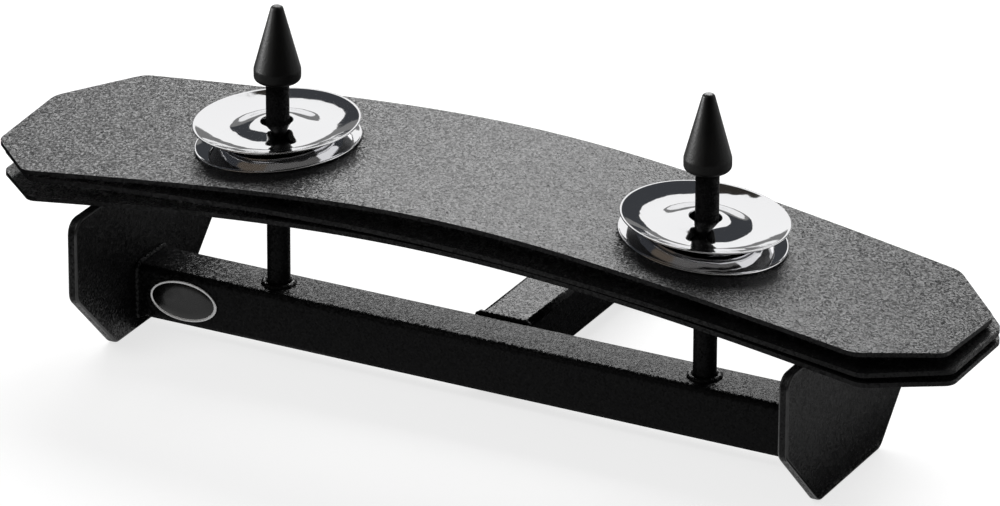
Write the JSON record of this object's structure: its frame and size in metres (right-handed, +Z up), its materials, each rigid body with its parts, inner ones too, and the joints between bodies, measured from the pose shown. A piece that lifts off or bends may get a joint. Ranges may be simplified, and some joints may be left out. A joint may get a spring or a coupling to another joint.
{
  "type": "stand-mounted castanets",
  "caption": "Arched steel clapper plates stacked loose on upright rods, with chrome jingles under rubber stoppers, on a welded frame with a clamp for a stand post.",
  "frame": {"origin": "on the floor under the middle of the object's bounding box", "axes": "+X along the clapper plates, +Y back along the bar that goes to the stand, +Z up along the rods"},
  "size_m": [0.3134, 0.1582, 0.1101],
  "materials": {
    "black_coat": "satin black powder coat with a fine grain",
    "chrome": "mirror chrome plate",
    "rubber": "matte black moulded rubber",
    "zinc": "satin zinc plate"
  },
  "bodies": {
    "frame": {"cross_bar": "black_coat", "rear_bar": "black_coat", "clamp_block": "black_coat", "left_side_plate": "black_coat", "right_side_plate": "black_coat", "bottom_clapper": "black_coat", "left_rod": "black_coat", "right_rod": "black_coat", "left_stopper": "rubber", "right_stopper": "rubber"},
    "middle_plate": {"middle_clapper": "black_coat"},
    "top_plate": {"top_clapper": "black_coat"},
    "left_lower": {"left_lower_jingle": "chrome"},
    "left_upper": {"left_upper_jingle": "chrome"},
    "right_lower": {"right_lower_jingle": "chrome"},
    "right_upper": {"right_upper_jingle": "chrome"},
    "clamp_bolt": {"wing_bolt": "zinc"}
  },
  "joints": [
    {"name": "middle_plate_rattle", "type": "slide", "parent": "frame", "child": "middle_plate", "axis": [0, 0, 1], "range_m": [0, 0.002]},
    {"name": "top_plate_rattle", "type": "slide", "parent": "middle_plate", "child": "top_plate", "axis": [0, 0, 1], "range_m": [0, 0.0035]},
    {"name": "left_lower_rattle", "type": "slide", "parent": "top_plate", "child": "left_lower", "axis": [0, 0, 1], "range_m": [0, 0.003]},
    {"name": "left_upper_rattle", "type": "slide", "parent": "left_lower", "child": "left_upper", "axis": [0, 0, 1], "range_m": [0, 0.003]},
    {"name": "right_lower_rattle", "type": "slide", "parent": "top_plate", "child": "right_lower", "axis": [0, 0, 1], "range_m": [0, 0.003]},
    {"name": "right_upper_rattle", "type": "slide", "parent": "right_lower", "child": "right_upper", "axis": [0, 0, 1], "range_m": [0, 0.003]},
    {"name": "clamp_bolt_turn", "type": "hinge", "parent": "frame", "child": "clamp_bolt", "pos_m": [0, 0.0641, 0.0128], "axis": [0, 1, 0], "continuous": true}
  ]
}
